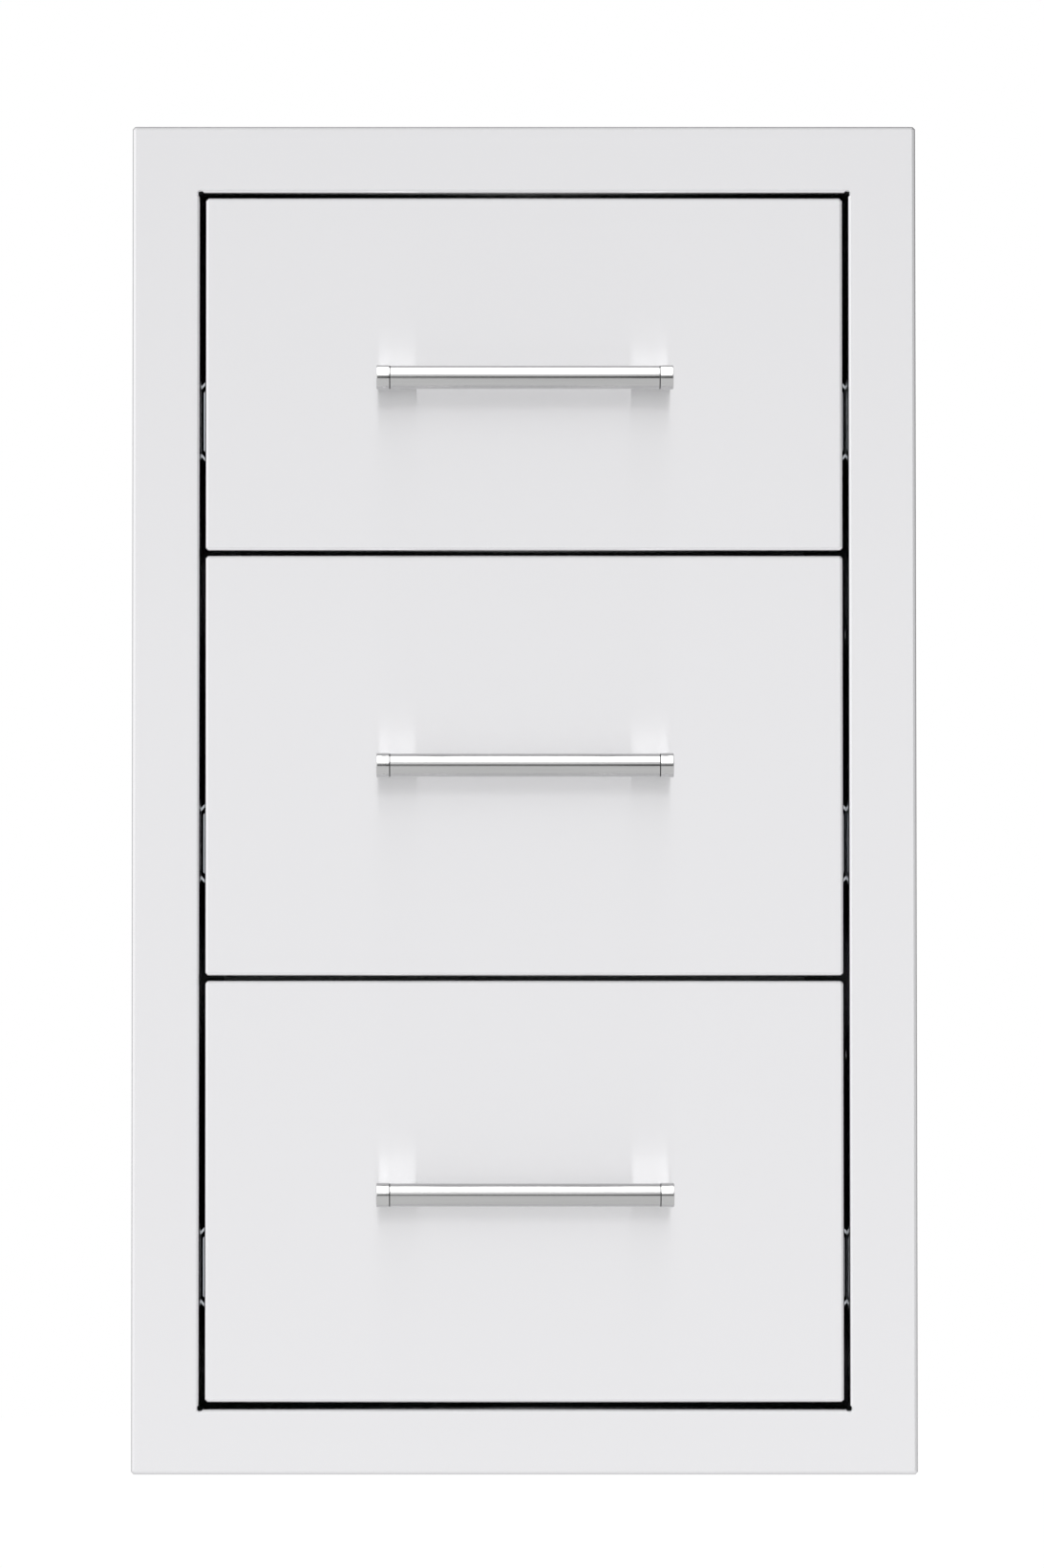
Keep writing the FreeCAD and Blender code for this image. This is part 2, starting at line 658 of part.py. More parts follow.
def ball_cages(label, section, row, window_start, drawer):
    """A drawer's left and right cages, each a strip with open windows for its two rows of balls."""
    body = new_body(label)
    centre = slide_height(drawer)
    front = "(slide_setback + cage_setback)"
    sketch = new_sketch(body, "XZ_Plane", front)
    raised = [(f"{x} - {PANEL_INSIDE}", f"{y} + {centre}", *rest) for x, y, *rest in section]
    outline(sketch, raised)
    outline(sketch, raised, flip=True)
    pad(body, sketch, "cage_length", backwards=True)

    first = f"({front} + (cage_length - {BALLS_IN_A_ROW - 1} * ball_pitch) / 2)"
    windows = new_sketch(body, "XY_Plane", centre)
    near, far = f"{window_start} - {PANEL_INSIDE}", f"{row[0]} + 2 * ball_radius - {PANEL_INSIDE}"
    low, high = f"{first} - window_radius", f"{first} + window_radius"
    rectangle(windows, near, low, far, high)
    rectangle(windows, f"-({far})", low, f"-({near})", high)
    feature = cut(body, windows)
    repeat(body, feature, "Y_Axis", BALLS_IN_A_ROW, "ball_pitch")


def make_slides(drawer):
    for side in SIDES:
        name = f"{drawer}_{side}"
        slide_member(f"slide_outer_{name}", outer_section(), "slide_length", drawer, side)
        slide_member(f"slide_middle_{name}", middle_section(), MEMBER_LENGTH, drawer, side)
        slide_member(f"slide_inner_{name}", inner_section(), MEMBER_LENGTH, drawer, side)
    outer_window = f"({OUTER_ROW[0]} - window_radius)"
    inner_window = f"({INNER_ROW[0]} - window_radius)"
    ball_cages(f"ball_cages_outer_{drawer}", outer_cage_section(), OUTER_ROW, outer_window, drawer)
    ball_cages(f"ball_cages_inner_{drawer}", inner_cage_section(), INNER_ROW, inner_window, drawer)


def make_slide_bumpers():
    """Rubber stops at the rear of the six cabinet members."""
    body = new_body("slide_bumpers")
    rear = "(slide_setback + slide_length)"
    sketch = new_sketch(body, "XZ_Plane", rear)
    for drawer in DRAWERS:
        centre = slide_height(drawer)
        near, far = f"({PANEL_INSIDE} - outer_gauge)", f"({PANEL_INSIDE} - slide_thickness + outer_gauge)"
        low, high = f"{centre} - slide_height / 4", f"{centre} + slide_height / 4"
        rectangle(sketch, far, low, near, high)
        rectangle(sketch, f"-{near}", low, f"-{far}", high)
    pad(body, sketch, "bumper_length - bumper_gap")


make_face_frame()
for panel_side in SIDES:
    make_side_panel(panel_side)
make_shelf_panel("top_panel", f"({SHELF_TOP} + housing_gauge)", 1)
make_shelf_panel("bottom_panel", f"({SHELF_BOTTOM} - housing_gauge)", -1)
make_back_panel()
make_slide_bumpers()
for level in DRAWERS:
    make_front(level)
    make_handle_bar(level)
    for leg_side in SIDES:
        make_handle_leg(level, leg_side)
    make_tray(level)
    make_tray_back(level)
    make_slides(level)

doc.recompute()
failed = [thing.Label for thing in doc.Objects if {"Invalid", "Error"} & set(thing.State)]
failed += [piece.Label for piece in pieces if piece.Shape.isNull() or not piece.Shape.isValid()]
if failed:
    raise RuntimeError(f"failed: {', '.join(failed)}")

os.makedirs("parts", exist_ok=True)
for piece in pieces:
    piece.Shape.exportStep(f"parts/{piece.Label}.step")
print(len(pieces), "pieces written")
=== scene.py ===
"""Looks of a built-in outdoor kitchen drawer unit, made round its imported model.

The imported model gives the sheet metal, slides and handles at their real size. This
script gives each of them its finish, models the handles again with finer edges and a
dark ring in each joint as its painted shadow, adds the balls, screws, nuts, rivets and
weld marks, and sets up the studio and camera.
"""

import json
import logging
import math
from collections.abc import Callable, Iterable, Iterator
from contextlib import contextmanager
from dataclasses import dataclass
from enum import Enum

import bmesh
import bpy
from mathutils import Matrix, Vector

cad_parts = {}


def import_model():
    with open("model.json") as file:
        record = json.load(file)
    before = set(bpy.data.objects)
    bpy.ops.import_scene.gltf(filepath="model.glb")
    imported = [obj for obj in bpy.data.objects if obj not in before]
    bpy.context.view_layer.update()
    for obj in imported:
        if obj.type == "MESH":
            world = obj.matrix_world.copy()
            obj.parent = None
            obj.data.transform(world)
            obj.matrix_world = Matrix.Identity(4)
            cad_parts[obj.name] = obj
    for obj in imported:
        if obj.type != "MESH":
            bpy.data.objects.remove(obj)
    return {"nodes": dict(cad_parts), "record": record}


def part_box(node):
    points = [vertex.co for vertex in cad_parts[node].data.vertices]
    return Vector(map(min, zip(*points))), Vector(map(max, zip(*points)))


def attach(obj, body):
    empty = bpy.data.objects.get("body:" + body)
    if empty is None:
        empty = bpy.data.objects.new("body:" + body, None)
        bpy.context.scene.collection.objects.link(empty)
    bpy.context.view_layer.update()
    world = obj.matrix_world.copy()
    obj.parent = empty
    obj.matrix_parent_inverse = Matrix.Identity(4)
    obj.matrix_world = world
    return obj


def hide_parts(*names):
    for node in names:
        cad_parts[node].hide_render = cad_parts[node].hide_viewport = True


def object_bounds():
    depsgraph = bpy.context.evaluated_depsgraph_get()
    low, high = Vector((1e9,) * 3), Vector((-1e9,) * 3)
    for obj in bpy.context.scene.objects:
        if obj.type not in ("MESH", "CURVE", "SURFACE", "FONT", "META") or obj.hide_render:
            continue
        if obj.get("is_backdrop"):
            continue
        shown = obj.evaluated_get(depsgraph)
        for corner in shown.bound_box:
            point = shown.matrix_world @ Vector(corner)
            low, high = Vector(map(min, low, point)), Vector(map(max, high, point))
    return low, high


MM = 0.001
LOG = logging.getLogger("drawer_unit")

Colour = tuple[float, float, float, float]

WHITE: Colour = (1.0, 1.0, 1.0, 1.0)
# Thickness of the sheet that the housing and the trays are folded from
SHEET = 1.0 * MM
# How far an edge may be from the place that it is chosen by
TOLERANCE = 0.1 * MM
# How nearly a face's normal points the way that it is chosen by
STRAIGHT = 0.99


class Side(Enum):
    """The two sides of the unit, seen from the front."""

    LEFT = -1
    RIGHT = 1

    @property
    def word(self) -> str:
        """The side's word in the names of nodes."""
        return self.name.lower()


class Level(Enum):
    """The three drawers."""

    TOP = "top"
    MIDDLE = "middle"
    BOTTOM = "bottom"


class Along(Enum):
    """The way that the lines of a rolled or ground sheet run."""

    X = 0
    Y = 1


class Joining(Enum):
    """How a second solid changes a piece."""

    ADD = "UNION"
    CUT = "DIFFERENCE"


class Flag(Enum):
    """Whether a lamp lights only some pieces, or all but those."""

    ONLY = "INCLUDE"
    ALL_BUT = "EXCLUDE"


class Signal:
    """An output of a shader network that expressions are written with."""

    def __init__(self, network: "Network", socket: bpy.types.NodeSocket) -> None:
        """Keeps the network and the socket."""
        self.network = network
        self.socket = socket

    def _math(self, operation: str, first: "Value", second: "Value" = 0.0) -> "Signal":
        """Adds one Math node on two values."""
        return self.network.signal("ShaderNodeMath", {"operation": operation}, {0: first, 1: second})

    def __add__(self, other: "Value") -> "Signal":
        """self + other"""
        return self._math("ADD", self, other)

    __radd__ = __add__

    def __sub__(self, other: "Value") -> "Signal":
        """self - other"""
        return self._math("SUBTRACT", self, other)

    def __rsub__(self, other: "Value") -> "Signal":
        """other - self"""
        return self._math("SUBTRACT", other, self)

    def __mul__(self, other: "Value") -> "Signal":
        """self * other"""
        return self._math("MULTIPLY", self, other)

    __rmul__ = __mul__

    def at_least(self, other: "Value") -> "Signal":
        """The larger of two values."""
        return self._math("MAXIMUM", self, other)

    def step(self, start: float, end: float) -> "Signal":
        """A soft edge between two of this signal's values.

        Args:
            start: The value at which it is 0.
            end: The value at which it is 1, which may be the lower one.

        Returns:
            The edge, from 0 to 1.
        """
        low, high = sorted((start, end))
        ends = (0.0, 1.0) if start < end else (1.0, 0.0)
        return self.network.signal(
            "ShaderNodeMapRange",
            {"interpolation_type": "SMOOTHSTEP"},
            {"Value": self, "From Min": low, "From Max": high, "To Min": ends[0], "To Max": ends[1]},
        )


Value = Signal | float | Colour | tuple[float, float, float]


class Network:
    """The nodes of one material or of the world."""

    # Sockets of a Mix node for colours, whose names other sockets of it have too
    MIX_SHARE = 0
    MIX_FIRST = 6
    MIX_SECOND = 7
    MIX_COLOUR = 2

    def __init__(self, owner: bpy.types.Material | bpy.types.World) -> None:
        """Starts with an empty node tree.

        Args:
            owner: The material or world that the nodes belong to.
        """
        owner.use_nodes = True
        self.tree = owner.node_tree
        self.tree.nodes.clear()

    def node(
        self,
        kind: str,
        settings: dict[str, object] | None = None,
        inputs: dict[int | str, Value] | None = None,
    ) -> bpy.types.Node:
        """Adds a node.

        Args:
            kind: The node's type.
            settings: Its settings, which are set first.
            inputs: The values or links of its sockets.

        Returns:
            The new node.
        """
        made = self.tree.nodes.new(kind)
        for name, setting in (settings or {}).items():
            setattr(made, name, setting)
        for key, value in (inputs or {}).items():
            if isinstance(value, Signal):
                self.tree.links.new(value.socket, made.inputs[key])
            else:
                made.inputs[key].default_value = value
        return made

    def signal(
        self,
        kind: str,
        settings: dict[str, object] | None = None,
        inputs: dict[int | str, Value] | None = None,
        output: int | str = 0,
    ) -> Signal:
        """Adds a node for use in an expression.

        Args:
            kind: The node's type.
            settings: Its settings, which are set first.
            inputs: The values or links of its sockets.
            output: Which of its outputs is wanted.

        Returns:
            That output.
        """
        return Signal(self, self.node(kind, settings, inputs).outputs[output])

    def object_place(self) -> Signal:
        """The place on the piece, in metres."""
        return self.signal("ShaderNodeTexCoord", output="Object")

    def noise(self, place: Signal, scale: tuple[float, float, float], detail: float = 2.0) -> Signal:
        """Noise about 0.5, with its own scale along each axis.

        Args:
            place: The coordinates that it is drawn on.
            scale: How many blots to a metre, along X, Y and Z.
            detail: How many finer layers it has.

        Returns:
            The noise's value.
        """
        stretched = self.signal("ShaderNodeMapping", {}, {"Vector": place, "Scale": scale})
        return self.signal("ShaderNodeTexNoise", {}, {"Vector": stretched, "Scale": 1.0, "Detail": detail})

    def mix_colour(self, share: Value, first: Value, second: Value) -> Signal:
        """Mixes two colours.

        Args:
            share: 0 where the first one shows, and 1 where the second one does.
            first: The first colour.
            second: The second colour.

        Returns:
            The mixed colour.
        """
        inputs = {self.MIX_SHARE: share, self.MIX_FIRST: first, self.MIX_SECOND: second}
        settings = {"data_type": "RGBA", "clamp_factor": True}
        return self.signal("ShaderNodeMix", settings, inputs, self.MIX_COLOUR)

    def bump(self, height: Signal, distance: float) -> Signal:
        """A normal tilted by a height, whose distance is its metres at a height of 1."""
        inputs = {"Height": height, "Distance": distance, "Strength": 1.0}
        return self.signal("ShaderNodeBump", {}, inputs)


def shade(colour: Colour, amount: float) -> Colour:
    """A colour with its red, green and blue times an amount."""
    return (colour[0] * amount, colour[1] * amount, colour[2] * amount, 1.0)


def clear_choice() -> None:
    """Leaves no object chosen."""
    bpy.ops.object.select_all(action="DESELECT")


def choose_only(*pieces: bpy.types.Object) -> None:
    """Chooses these pieces, the first of them active.

    Args:
        pieces: What is chosen.
    """
    clear_choice()
    for piece in pieces:
        piece.select_set(True)
    bpy.context.view_layer.objects.active = pieces[0]


def settle(piece: bpy.types.Object) -> bpy.types.Object:
    """Puts a piece's place, turn and scale into its mesh.

    Args:
        piece: The piece, which is changed.

    Returns:
        The same piece.
    """
    choose_only(piece)
    bpy.ops.object.transform_apply(location=True, rotation=True, scale=True)
    return piece


def new_block(low: Vector, high: Vector) -> bpy.types.Object:
    """Starts a piece as a block.

    Args:
        low: Its lowest corner.
        high: Its highest corner.

    Returns:
        The new piece, with its place in its mesh.
    """
    clear_choice()
    bpy.ops.mesh.primitive_cube_add(size=1.0, location=(low + high) / 2)
    block = bpy.context.object
    block.scale = high - low
    return settle(block)


def new_round(start: Vector, end: Vector, radius: float, corners: int = 64) -> bpy.types.Object:
    """Starts a piece as a round bar.

    Args:
        start: The middle of its first end.
        end: The middle of its other end.
        radius: Its radius.
        corners: How many corners its section has.

    Returns:
        The new piece, with its place in its mesh.
    """
    clear_choice()
    turn = (end - start).to_track_quat("Z", "Y").to_euler()
    bpy.ops.mesh.primitive_cylinder_add(
        vertices=corners,
        radius=radius,
        depth=(end - start).length,
        location=(start + end) / 2,
        rotation=turn,
    )
    return settle(bpy.context.object)


@contextmanager
def editing(piece: bpy.types.Object) -> Iterator[None]:
    """Opens a piece in edit mode with nothing chosen on it, and closes it again.

    Args:
        piece: The piece that is shaped.

    Yields:
        Once, while it is open.
    """
    choose_only(piece)
    bpy.ops.object.mode_set(mode="EDIT")
    bpy.ops.mesh.select_all(action="DESELECT")
    yield
    bpy.ops.object.mode_set(mode="OBJECT")


def choose_edges(test: Callable[[Vector, Vector], bool]) -> None:
    """Chooses edges of the open piece.

    Args:
        test: Says of an edge's two ends whether it is chosen.
    """
    bpy.ops.mesh.select_mode(type="EDGE")
    mesh = bmesh.from_edit_mesh(bpy.context.edit_object.data)
    for edge in mesh.edges:
        edge.select_set(test(edge.verts[0].co, edge.verts[1].co))
    bmesh.update_edit_mesh(bpy.context.edit_object.data)


def choose_faces(test: Callable[[Vector, Vector], bool]) -> None:
    """Chooses faces of the open piece.

    Args:
        test: Says of a face's middle and normal whether it is chosen.
    """
    bpy.ops.mesh.select_mode(type="FACE")
    mesh = bmesh.from_edit_mesh(bpy.context.edit_object.data)
    for face in mesh.faces:
        face.select_set(test(face.calc_center_median(), face.normal))
    bmesh.update_edit_mesh(bpy.context.edit_object.data)


def apply_modifier(piece: bpy.types.Object, kind: str, **settings: object) -> None:
    """Adds a modifier to a piece and applies it.

    Args:
        piece: The piece, which is changed.
        kind: The modifier's type.
        settings: The modifier's settings.
    """
    modifier = piece.modifiers.new(kind.lower(), kind)
    for name, setting in settings.items():
        setattr(modifier, name, setting)
    choose_only(piece)
    bpy.ops.object.modifier_apply(modifier=modifier.name)


def combine(piece: bpy.types.Object, other: bpy.types.Object, joining: Joining) -> None:
    """Cuts another solid from a piece or adds it, and removes the other.

    Args:
        piece: The piece that is kept.
        other: The solid that is used up.
        joining: Whether the other is added or cut away.
    """
    apply_modifier(piece, "BOOLEAN", operation=joining.value, solver="EXACT", object=other)
    bpy.data.objects.remove(other, do_unlink=True)


def smooth(piece: bpy.types.Object, degrees: float = 32.0) -> None:
    """Shades a piece smooth, apart from its sharp edges."""
    choose_only(piece)
    bpy.ops.object.shade_smooth_by_angle(angle=math.radians(degrees))


def report(piece: bpy.types.Object) -> None:
    """Logs a finished piece's name and how many faces it has."""
    LOG.info("%s: %d faces", piece.name, len(piece.data.polygons))


def facing(place: Vector, way: Vector, turn: float = 0.0) -> Matrix:
    """The place of a fastener whose head points one way, turned about itself by degrees."""
    spin = Matrix.Rotation(math.radians(turn), 4, "Z")
    return Matrix.Translation(place) @ way.to_track_quat("Z", "Y").to_matrix().to_4x4() @ spin


def copies(pattern: bpy.types.Object, name: str, places: Iterable[Matrix]) -> bpy.types.Object:
    """Puts a copy of a pattern at each place, and joins them to one piece.

    Args:
        pattern: The shape at the origin, which is left as it is.
        name: The new piece's name.
        places: Where the copies go.

    Returns:
        The new piece, with its place in its mesh.
    """
    made = []
    for place in places:
        each = bpy.data.objects.new(name, pattern.data.copy())
        each.data.transform(place)
        bpy.context.scene.collection.objects.link(each)
        made.append(each)
    choose_only(*made)
    bpy.ops.object.join()
    joined = bpy.context.object
    joined.name = name
    return joined


@dataclass(frozen=True)
class SheetFinish:
    """Rolled or ground metal sheet, whose fine lines run one way."""

    name: str
    colour: Colour
    roughness: float
    along: Along = Along.X
    anisotropy: float = 0.0
    line_pitch: float = 0.35 * MM
    line_length: float = 45.0 * MM
    line_depth: float = 0.0012 * MM
    line_shade: float = 0.03
    cloud_size: float = 90.0 * MM
    cloud_shade: float = 0.02
    cloud_roughness: float = 0.04
    streak_pitches: float = 9.0
    streak_lengths: float = 4.0
    highlight_turn: float = 0.25

    def material(self) -> bpy.types.Material:
        """The finish as a material.

        Returns:
            A metal whose lines vary its colour and normal, and whose wider streaks and clouds vary
            its colour and roughness.
        """
        made = bpy.data.materials.new(self.name)
        network = Network(made)
        place = network.object_place()
        fine = [1.0 / self.line_pitch] * 3
        fine[self.along.value] = 1.0 / self.line_length
        lines = network.noise(place, tuple(fine), 3.0)
        coarse = [1.0 / (self.line_pitch * self.streak_pitches)] * 3
        coarse[self.along.value] = 1.0 / (self.line_length * self.streak_lengths)
        streaks = network.noise(place, tuple(coarse), 1.0)
        clouds = network.noise(place, (1.0 / self.cloud_size,) * 3, 2.0)
        # A tone of 0.5, which the noises vary about, leaves the colour as it is
        tone = (lines + streaks - 1.0) * self.line_shade + (clouds - 0.5) * self.cloud_shade * 2.0 + 0.5
        colour = network.mix_colour(tone, shade(self.colour, 0.5), shade(self.colour, 1.5))
        cloud_part = (clouds - 0.5) * 2.0 * self.cloud_roughness
        roughness = cloud_part + (streaks - 0.5) * self.cloud_roughness + self.roughness
        surface = network.signal(
            "ShaderNodeBsdfPrincipled",
            {},
            {
                "Base Color": colour,
                "Metallic": 1.0,
                "Roughness": roughness,
                "Anisotropic": self.anisotropy,
                "Anisotropic Rotation": self.highlight_turn if self.anisotropy else 0.0,
                "Normal": network.bump(lines, self.line_depth),
            },
        )
        network.node("ShaderNodeOutputMaterial", {}, {"Surface": surface})
        return made


@dataclass(frozen=True)
class MouldedFinish:
    """Matt rubber or plastic with a fine skin."""

    name: str
    colour: Colour
    roughness: float
    skin_size: float = 0.4 * MM
    skin_depth: float = 0.01 * MM
    dust_scale: float = 60.0
    dust_roughness: float = 0.1
    darkest: float = 0.8
    palest: float = 1.6

    def material(self) -> bpy.types.Material:
        """The finish as a material.

        Returns:
            A dull surface with a pebbled skin.
        """
        made = bpy.data.materials.new(self.name)
        network = Network(made)
        place = network.object_place()
        skin = network.noise(place, (1.0 / self.skin_size,) * 3, 2.0)
        dust = network.noise(place, (self.dust_scale,) * 3, 3.0)
        dark = shade(self.colour, self.darkest)
        pale = shade(self.colour, self.palest)
        surface = network.signal(
            "ShaderNodeBsdfPrincipled",
            {},
            {
                "Base Color": network.mix_colour(dust, dark, pale),
                "Roughness": dust * self.dust_roughness + self.roughness,
                "Normal": network.bump(skin, self.skin_depth),
            },
        )
        network.node("ShaderNodeOutputMaterial", {}, {"Surface": surface})
        return made


GROUND_SHEET = SheetFinish(
    "ground_sheet",
    (0.79, 0.787, 0.802, 1.0),
    0.258,
    anisotropy=1.0,
    line_depth=0.0004 * MM,
    line_shade=0.012,
    cloud_size=160.0 * MM,
    cloud_shade=0.008,
    cloud_roughness=0.012,
)
GROUND_BAR = SheetFinish(
    "ground_bar", (0.57, 0.57, 0.57, 1.0), 0.2, line_pitch=0.25 * MM, line_length=30.0 * MM, line_shade=0.12
)
CAST_STEEL = SheetFinish(
    "cast_steel", (0.60, 0.60, 0.60, 1.0), 0.18, line_pitch=0.2 * MM, line_length=6.0 * MM
)
MILL_SHEET_X = SheetFinish("mill_sheet_crosswise", (0.70, 0.71, 0.72, 1.0), 0.34, line_pitch=0.6 * MM)
MILL_SHEET_Y = SheetFinish(
    "mill_sheet_lengthwise", (0.70, 0.71, 0.72, 1.0), 0.34, Along.Y, line_pitch=0.6 * MM
)
ZINC_PLATE = SheetFinish(
    "zinc_plate",
    (0.60, 0.63, 0.66, 1.0),
    0.31,
    Along.Y,
    cloud_size=20.0 * MM,
    cloud_shade=0.04,
    cloud_roughness=0.03,
)
CAGE_STEEL = SheetFinish("cage_steel", (0.52, 0.54, 0.56, 1.0), 0.36, Along.Y, line_pitch=0.2 * MM)
BALL_STEEL = SheetFinish(
    "ball_steel", (0.66, 0.67, 0.68, 1.0), 0.08, line_depth=0.0002 * MM, cloud_roughness=0.02
)
WELD_STEEL = SheetFinish(
    "weld_steel", (0.60, 0.57, 0.52, 1.0), 0.4, line_pitch=1.2 * MM, line_length=1.2 * MM, line_shade=0.2
)
SCREW_STEEL = SheetFinish("screw_steel", (0.64, 0.65, 0.66, 1.0), 0.2, line_length=2.0 * MM)
RUBBER = MouldedFinish("stop_rubber", (0.02, 0.02, 0.022, 1.0), 0.62)

SLOT_FINISHES = {
    "brushed_stainless": GROUND_SHEET,
    "handle_stainless": GROUND_BAR,
    "folded_stainless": MILL_SHEET_X,
    "zinc_plate": ZINC_PLATE,
    "cage_steel": CAGE_STEEL,
    "bumper_rubber": RUBBER,
}


class Workshop:
    """Keeps the materials and fastener patterns that the sub-assemblies share."""

    def __init__(self) -> None:
        """Starts with nothing made."""
        self.materials: dict[str, bpy.types.Material] = {}
        self.patterns: dict[str, bpy.types.Object] = {}

    def material(self, finish: SheetFinish | MouldedFinish) -> bpy.types.Material:
        """A finish's material, made the first time that it is asked for.

        Args:
            finish: Which finish.

        Returns:
            Its material.
        """
        if finish.name not in self.materials:
            self.materials[finish.name] = finish.material()
        return self.materials[finish.name]

    def dress(self, piece: bpy.types.Object, finish: SheetFinish | MouldedFinish) -> None:
        """Gives a piece one finish all over."""
        piece.data.materials.clear()
        piece.data.materials.append(self.material(finish))

    def fasteners(self, kind: "Fastener", name: str, body: str, places: Iterable[Matrix]) -> None:
        """Fits one kind of fastener at several places of a body.

        Args:
            kind: What is fitted.
            name: The new piece's name.
            body: The body that it rides on.
            places: Where each one sits.
        """
        if kind.name not in self.patterns:
            pattern = kind.model()
            self.dress(pattern, kind.finish)
            self.patterns[kind.name] = pattern
        piece = copies(self.patterns[kind.name], name, places)
        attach(piece, body)
        report(piece)

    def clear_away(self) -> None:
        """Removes the patterns, once all the copies are made."""
        for pattern in self.patterns.values():
            bpy.data.objects.remove(pattern, do_unlink=True)
        self.patterns.clear()


@dataclass
class Fastener:
    """Something small that holds sheets together, modelled at the origin with its head along +Z."""

    name: str
    finish: SheetFinish
    radius: float
    height: float

    def model(self) -> bpy.types.Object:
        """The fastener's shape."""
        raise NotImplementedError

    def on_top(self, first: Vector, second: Vector) -> bool:
        """Whether an edge between two places lies on the head's upper face."""
        return min(first.z, second.z) > self.height - TOLERANCE


@dataclass
class PanScrew(Fastener):
    """A pan-head screw with a cross recess."""

    recess_length: float = 4.4 * MM
    recess_width: float = 0.95 * MM
    recess_depth: float = 1.5 * MM
    recess_taper: float = 0.45
    blade_share: float = 1.4
    dome_share: float = 0.6
    corners: int = 32

    def model(self) -> bpy.types.Object:
        """Models the fastener.

        Returns:
            A rounded head with a tapered cross sunk into it.
        """
        head = new_round(Vector((0, 0, 0)), Vector((0, 0, self.height)), self.radius, self.corners)
        with editing(head):
            choose_edges(self.on_top)
            bpy.ops.mesh.bevel(offset=self.height * self.dome_share, segments=5, affect="EDGES")
        for across in (False, True):
            reach = Vector((self.recess_length, self.recess_width, 0)) / 2
            if across:
                reach = reach.yxz
            foot = Vector((0, 0, self.height - self.recess_depth))
            top = Vector((0, 0, self.height * self.blade_share))
            blade = new_block(foot - reach, top + reach)
            with editing(blade):
                choose_faces(lambda middle, normal: normal.z < -STRAIGHT)
                bpy.ops.transform.resize(value=(self.recess_taper, self.recess_taper, 1.0))
            combine(head, blade, Joining.CUT)
        smooth(head)
        return head


@dataclass
class BlindRivet(Fastener):
    """A domed rivet with the hollow that its pulled stem leaves."""

    stem_radius: float = 1.0 * MM
    stem_depth: float = 0.45 * MM
    dome_share: float = 0.85
    corners: int = 20

    def model(self) -> bpy.types.Object:
        """Models the fastener.

        Returns:
            A low dome with a round hollow in its top.
        """
        rounding = self.height * self.dome_share
        head = new_round(Vector((0, 0, 0)), Vector((0, 0, self.height)), self.radius, self.corners)
        with editing(head):
            choose_edges(self.on_top)
            bpy.ops.mesh.bevel(offset=rounding, segments=4, affect="EDGES")
            choose_faces(lambda middle, normal: normal.z > STRAIGHT and middle.xy.length < TOLERANCE)
            bpy.ops.mesh.inset(thickness=self.radius - rounding - self.stem_radius)
            bpy.ops.mesh.extrude_region_move(TRANSFORM_OT_translate={"value": (0, 0, -self.stem_depth)})
        smooth(head)
        return head


@dataclass
class HexNut(Fastener):
    """A thin nut with chamfered corners and a thread's bore."""

    bore: float = 1.75 * MM
    chamfer: float = 0.35 * MM
    corners: int = 6
    bore_corners: int = 16

    def model(self) -> bpy.types.Object:
        """Models the fastener.

        Returns:
            A six-sided block with its corners turned off, and a bore.
        """
        top = Vector((0, 0, self.height))
        nut = new_round(Vector((0, 0, 0)), top, self.radius, self.corners)
        with editing(nut):
            choose_edges(self.on_top)
            bpy.ops.mesh.bevel(offset=self.chamfer, segments=2, affect="EDGES")
        combine(nut, new_round(-top, 2 * top, self.bore, self.bore_corners), Joining.CUT)
        smooth(nut)
        return nut


@dataclass
class WeldMark(Fastener):
    """The shallow dish that a spot weld's tip leaves in a sheet."""

    rim_share: float = 0.22
    slope_share: float = 0.16
    dish_share: float = 0.6
    corners: int = 20

    def model(self) -> bpy.types.Object:
        """Models the fastener.

        Returns:
            A thin disc with a raised rim and a dished middle.
        """
        mark = new_round(Vector((0, 0, 0)), Vector((0, 0, self.height)), self.radius, self.corners)
        with editing(mark):
            choose_faces(lambda middle, normal: normal.z > STRAIGHT)
            bpy.ops.mesh.inset(thickness=self.radius * self.rim_share)
            bpy.ops.mesh.inset(thickness=self.radius * self.slope_share)
            bpy.ops.transform.translate(value=(0, 0, -self.height * self.dish_share))
        smooth(mark, 60.0)
        return mark


HANDLE_SCREW = PanScrew("handle_screw", SCREW_STEEL, 4.5 * MM, 2.8 * MM)
SLIDE_SCREW = PanScrew("slide_screw", SCREW_STEEL, 3.9 * MM, 2.2 * MM, recess_length=4.0 * MM)
SLIDE_NUT = HexNut("slide_nut", SCREW_STEEL, 3.8 * MM, 2.2 * MM)
RIVET = BlindRivet("rivet", SCREW_STEEL, 3.2 * MM, 0.95 * MM)
WELD = WeldMark("weld", WELD_STEEL, 2.6 * MM, 0.07 * MM)


